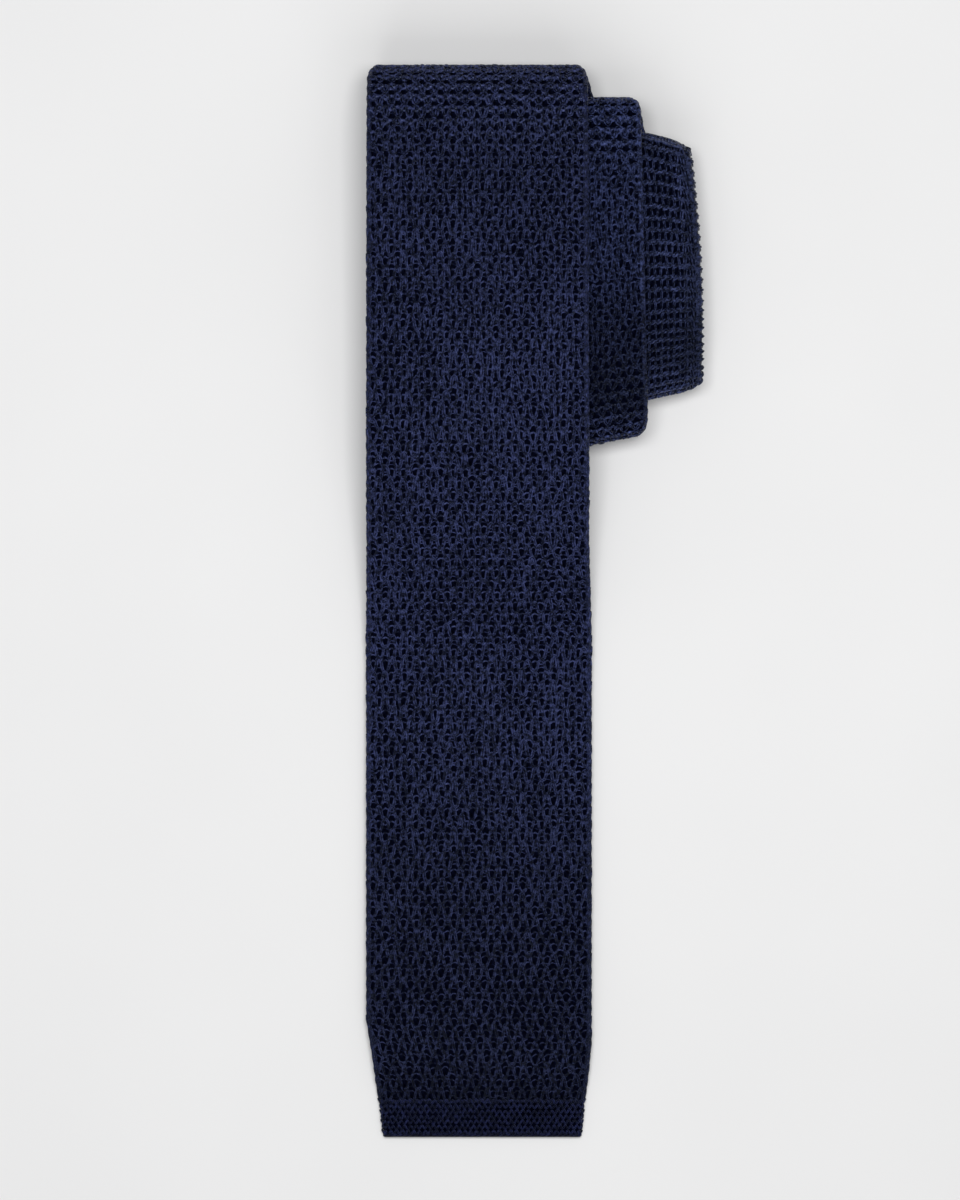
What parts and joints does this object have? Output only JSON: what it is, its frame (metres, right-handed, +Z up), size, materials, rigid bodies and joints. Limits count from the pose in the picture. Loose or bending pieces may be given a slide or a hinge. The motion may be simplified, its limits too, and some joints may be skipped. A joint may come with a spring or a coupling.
{
  "type": "knit tie",
  "caption": "Square-ended knitted necktie, folded in half and rolled flat into an offset coil, blade lying on top.",
  "frame": {"origin": "on the surface that the tie lies on, under the middle of its footprint", "axes": "+X across the blade to the right, +Y from the blade's hem towards the top fold, +Z up"},
  "size_m": [0.0888, 0.284, 0.0297],
  "materials": {
    "net_knit": "soft sheen navy yarn in an open net knit",
    "rib_knit": "soft sheen navy yarn in a close ribbed knit",
    "hem_knit": "dull navy yarn in a fine tight knit"
  },
  "bodies": {
    "root": {"blade_hem": "hem_knit", "blade": "net_knit", "neck": "rib_knit", "tail": "net_knit", "tail_hem": "hem_knit"}
  },
  "joints": []
}
